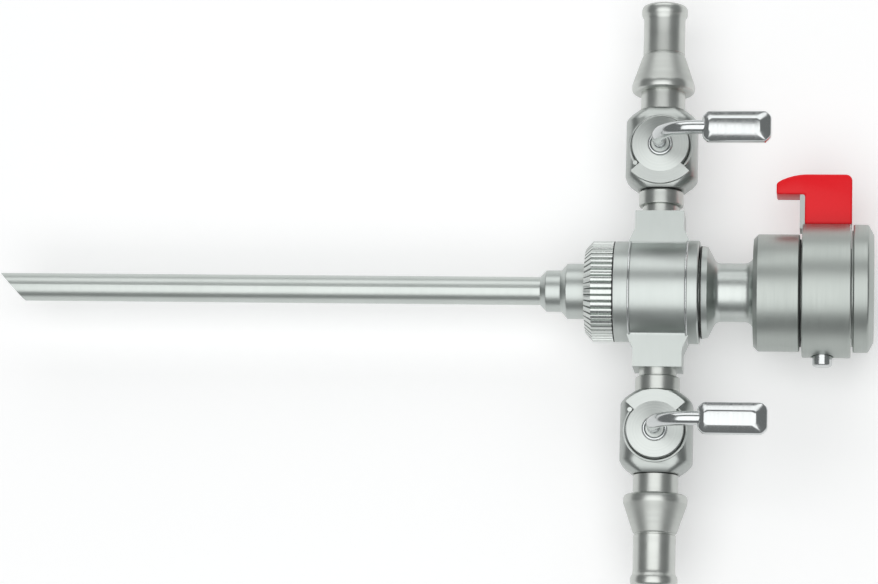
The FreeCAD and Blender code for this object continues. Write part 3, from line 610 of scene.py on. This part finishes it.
def model_nut():
    low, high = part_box("knurled_nut")
    front, rear = low[0] / MM, high[0] / MM
    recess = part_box("slip_washer")[0][0] / MM - WASHER_PLAY
    segments = NUT_FLUTES * FACES_PER_FLUTE
    piece = turned_piece([(front, NUT_BORE), (front, NUT_FRONT_RADIUS), (front + NUT_CHAMFER, NUT_RADIUS),
                          (rear, NUT_RADIUS), (rear, NUT_RECESS), (recess, NUT_RECESS), (recess, NUT_BORE)],
                         False, 0, segments)

    def line_of(vertex):
        """Which line of its flute a point of the nut lies on."""
        angle = math.atan2(vertex.co.z, vertex.co.y)
        return round(angle / (2 * math.pi / segments)) % FACES_PER_FLUTE

    def on_the_outside(vertex):
        return math.hypot(vertex.co.y, vertex.co.z) > (NUT_RADIUS - OUTSIDE_MARGIN) * MM

    for line, cut in FLUTE_DEPTHS.items():
        select_parts(piece, "VERT", lambda vertex: on_the_outside(vertex) and line_of(vertex) == line)
        ratio = 1 - cut / NUT_RADIUS
        bpy.ops.transform.resize(value=(1, ratio, ratio), center_override=(0, 0, 0))
        bpy.ops.object.mode_set(mode="OBJECT")
    shade_smooth_under(NUT_SHARP_ANGLE)
    return piece


# Red grip: block with a hook whose back curves down to its tip
HOOK_REACH = 5.7
HOOK_UNDERSIDE = 19.7
# Height of the hook over its underside at each step towards its tip
HOOK_HEIGHTS = (4.0, 3.78, 3.45, 3.0, 2.3)
GRIP_CORNER = 1.3
GRIP_CORNER_STEPS = 6
GRIP_EDGE = 0.4
CORNER_MARGIN = 0.01


def model_grip():
    low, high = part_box("lever_grip")
    front = low[0] + HOOK_REACH * MM
    underside = HOOK_UNDERSIDE * MM
    piece = new_block(((front + high[0]) / 2, (low[1] + underside) / 2, 0),
                      (high[0] - front, underside - low[1], high[2] - low[2]))
    select_parts(piece, "FACE", lambda face: face.normal.y > LOOKS_ALONG)
    draw_out((0, high[1] - underside, 0))
    bpy.ops.object.mode_set(mode="OBJECT")
    select_parts(piece, "FACE", lambda face: face.normal.x < -LOOKS_ALONG and face.center.y > underside)
    height = (high[1] - underside) / MM
    place = front
    step = HOOK_REACH * MM / len(HOOK_HEIGHTS)
    for next_height in HOOK_HEIGHTS:
        place -= step
        draw_out((-step, 0, 0), (1, next_height / height, 1), (place, underside, 0))
        height = next_height
    bpy.ops.object.mode_set(mode="OBJECT")

    def at_rear_top(edge):
        margin = CORNER_MARGIN * MM
        return all(end.x > high[0] - margin and end.y > high[1] - margin for end in ends_of(piece, edge))

    select_parts(piece, "EDGE", at_rear_top)
    bpy.ops.mesh.bevel(offset=GRIP_CORNER * MM, segments=GRIP_CORNER_STEPS, affect="EDGES")
    bpy.ops.object.mode_set(mode="OBJECT")
    soften(piece, GRIP_EDGE, 3)
    return piece


def ring_on_axis(x, radius, wire_radius):
    """Thin ring round the tube's axis, with its radii in mm."""
    bpy.ops.object.select_all(action="DESELECT")
    bpy.ops.mesh.primitive_torus_add(major_radius=radius * MM, minor_radius=wire_radius * MM,
                                     major_segments=128, minor_segments=12,
                                     location=(x, 0, 0), rotation=(0, math.pi / 2, 0))
    piece = added()
    bpy.ops.object.shade_smooth()
    return piece


# Pieces that come in two, one on each side of the tube
for model, name, riding_on, slot, material, replaces_node in (
        (model_valve_body, "valve_barrel", "collar", "satin_steel", satin_milled, "valve_body"),
        (model_lever_rod, "swept_rod", "valve", "polished_steel", polished_lever, "lever_rod"),
        (model_paddle, "bevelled_paddle", "valve", "polished_steel", polished_lever, "lever_paddle"),
        (model_foot_bead, "lever_foot_bead", "valve", "polished_steel", polished_lever, None),
        (model_connector, "turned_connector", "collar", "polished_steel", half_blasted, "hose_connector")):
    upper = model()
    lower = mirrored_copy(upper)
    for side, piece in (("upper_", upper), ("lower_", lower)):
        body = riding_on if riding_on == "collar" else side + riding_on
        register(piece, side + name, body, material, [side + replaces_node] if replaces_node else [])

# Bright lines inside the collar's two rims, in mm from its ends and its axis, and a near black ring of painted shade
# at the slip washer's rim
FRONT_LINE_PLACE, FRONT_LINE_RADIUS = 3.2, 10.18
REAR_LINE_PLACE, REAR_LINE_RADIUS = 2.4, 10.36
LINE_WIRE_RADIUS = 0.25
WASHER_SHADE_RING_RADIUS, WASHER_SHADE_RING_WIRE_RADIUS = 9.98, 0.13
collar_low, collar_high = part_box("stopcock_collar")
front_line = ring_on_axis(collar_low[0] + FRONT_LINE_PLACE * MM, FRONT_LINE_RADIUS, LINE_WIRE_RADIUS)
register(front_line, "collar_front_line", "collar", polished_lever)
rear_line = ring_on_axis(collar_high[0] - REAR_LINE_PLACE * MM, REAR_LINE_RADIUS, LINE_WIRE_RADIUS)
register(rear_line, "collar_rear_line", "collar", polished_lever)
# Near black ring at the slip washer's edge: painted shade in the seam
washer_shade_ring = ring_on_axis(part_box("slip_washer")[1][0], WASHER_SHADE_RING_RADIUS, WASHER_SHADE_RING_WIRE_RADIUS)
register(washer_shade_ring, "slip_washer_shade_ring", "nut_carrier", gap_shade_paint)
register(model_nut(), "fluted_nut", "nut", bright_knurl, ["knurled_nut"])
register(model_grip(), "hooked_grip", "lock", red, ["lever_grip"])

# Table: white, and seen a little brighter by the camera and in reflections than it lights the object.
# It is 4 m wide and lies 0.2 mm under the lowest piece
TABLE_SIZE = 4
TABLE_GAP = 0.2
TABLE_COLOUR = "#F4F4F4"
TABLE_GLOW = 0.25


def make_table():
    bpy.ops.object.select_all(action="DESELECT")
    table_level = cad_bounds[0][2] - TABLE_GAP * MM
    bpy.ops.mesh.primitive_plane_add(size=1, location=(AIM.x, 0, table_level))
    table = bpy.context.active_object
    table.name = "white_table"
    table.scale = (TABLE_SIZE, TABLE_SIZE, 1)
    bpy.ops.object.transform_apply(location=True, rotation=True, scale=True)
    material = new_material("white_table_top")
    tree = material.node_tree
    diffuse = add_node(tree, "ShaderNodeBsdfDiffuse", {"Color": linear(TABLE_COLOUR)})
    glow = add_node(tree, "ShaderNodeEmission", {"Color": (1, 1, 1, 1), "Strength": TABLE_GLOW})
    glowing = add_node(tree, "ShaderNodeAddShader")
    tree.links.new(diffuse.outputs["BSDF"], glowing.inputs[0])
    tree.links.new(glow.outputs["Emission"], glowing.inputs[1])
    rays = add_node(tree, "ShaderNodeLightPath")
    seen = add_node(tree, "ShaderNodeMath", {"operation": "MAXIMUM"})
    tree.links.new(rays.outputs["Is Camera Ray"], seen.inputs[0])
    tree.links.new(rays.outputs["Is Glossy Ray"], seen.inputs[1])
    pick = add_node(tree, "ShaderNodeMixShader", None, {"Fac": seen.outputs["Value"]})
    tree.links.new(diffuse.outputs["BSDF"], pick.inputs[1])
    tree.links.new(glowing.outputs["Shader"], pick.inputs[2])
    output = add_node(tree, "ShaderNodeOutputMaterial")
    tree.links.new(pick.outputs["Shader"], output.inputs["Surface"])
    table.data.materials.append(material)


# Softboxes, as name, watts, width and height, and place in metres: one overhead, one low at the far side
SOFTBOXES = (("top_softbox", 2.95, (0.8, 0.8), (AIM.x, -0.16, 0.6)),
             ("far_softbox", 1.7, (0.9, 0.45), (AIM.x, 0.6, 0.36)))
ROOM_COLOUR = "#E6EAEA"
ROOM_STRENGTH = 0.28


def make_lamp(name, power, size, place, target):
    data = bpy.data.lights.new(name, "AREA")
    data.energy = power
    data.shape = "RECTANGLE"
    data.size, data.size_y = size
    lamp = bpy.data.objects.new(name, data)
    bpy.context.scene.collection.objects.link(lamp)
    lamp.location = place
    lamp.rotation_euler = (Vector(target) - Vector(place)).to_track_quat("-Z", "Y").to_euler()


def make_studio():
    world = bpy.data.worlds.new("studio")
    world.use_nodes = True
    bpy.context.scene.world = world
    room = world.node_tree.nodes["Background"]
    room.inputs["Color"].default_value = linear(ROOM_COLOUR)
    room.inputs["Strength"].default_value = ROOM_STRENGTH
    for name, power, size, place in SOFTBOXES:
        make_lamp(name, power, size, place, (AIM.x, 0, 0))


make_camera()
make_table()
make_studio()
bpy.context.scene.view_settings.view_transform = "Standard"
